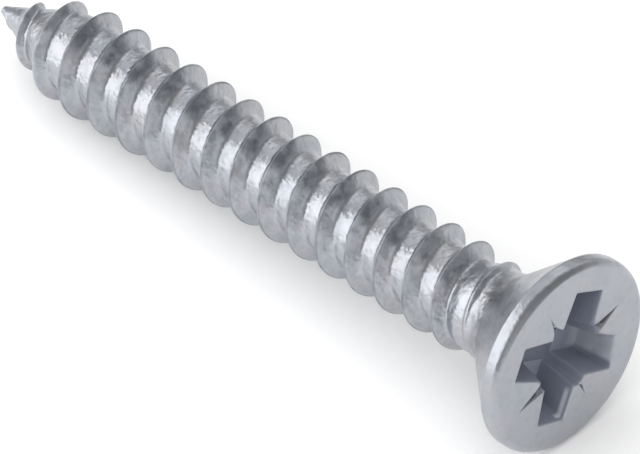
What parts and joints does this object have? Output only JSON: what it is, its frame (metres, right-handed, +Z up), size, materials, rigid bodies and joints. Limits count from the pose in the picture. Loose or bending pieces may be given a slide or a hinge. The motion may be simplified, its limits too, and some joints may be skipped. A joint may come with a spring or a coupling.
{
  "type": "sheet metal screw",
  "caption": "Countersunk self-tapping sheet metal screw with a spaced helical thread, a cone point and a cross recess in its flat head.",
  "frame": {"origin": "the middle of the screw's own box, on the floor that it lies on", "axes": "+Z up; +X along the screw as it lies, from its point towards its head, with the axis rising towards the head"},
  "size_m": [0.0252, 0.0068, 0.0067],
  "materials": {
    "zinc_plated_steel": "bright zinc plating over cold-formed steel, slightly mottled on the thread"
  },
  "bodies": {
    "root": {"screw": "zinc_plated_steel"}
  },
  "joints": []
}
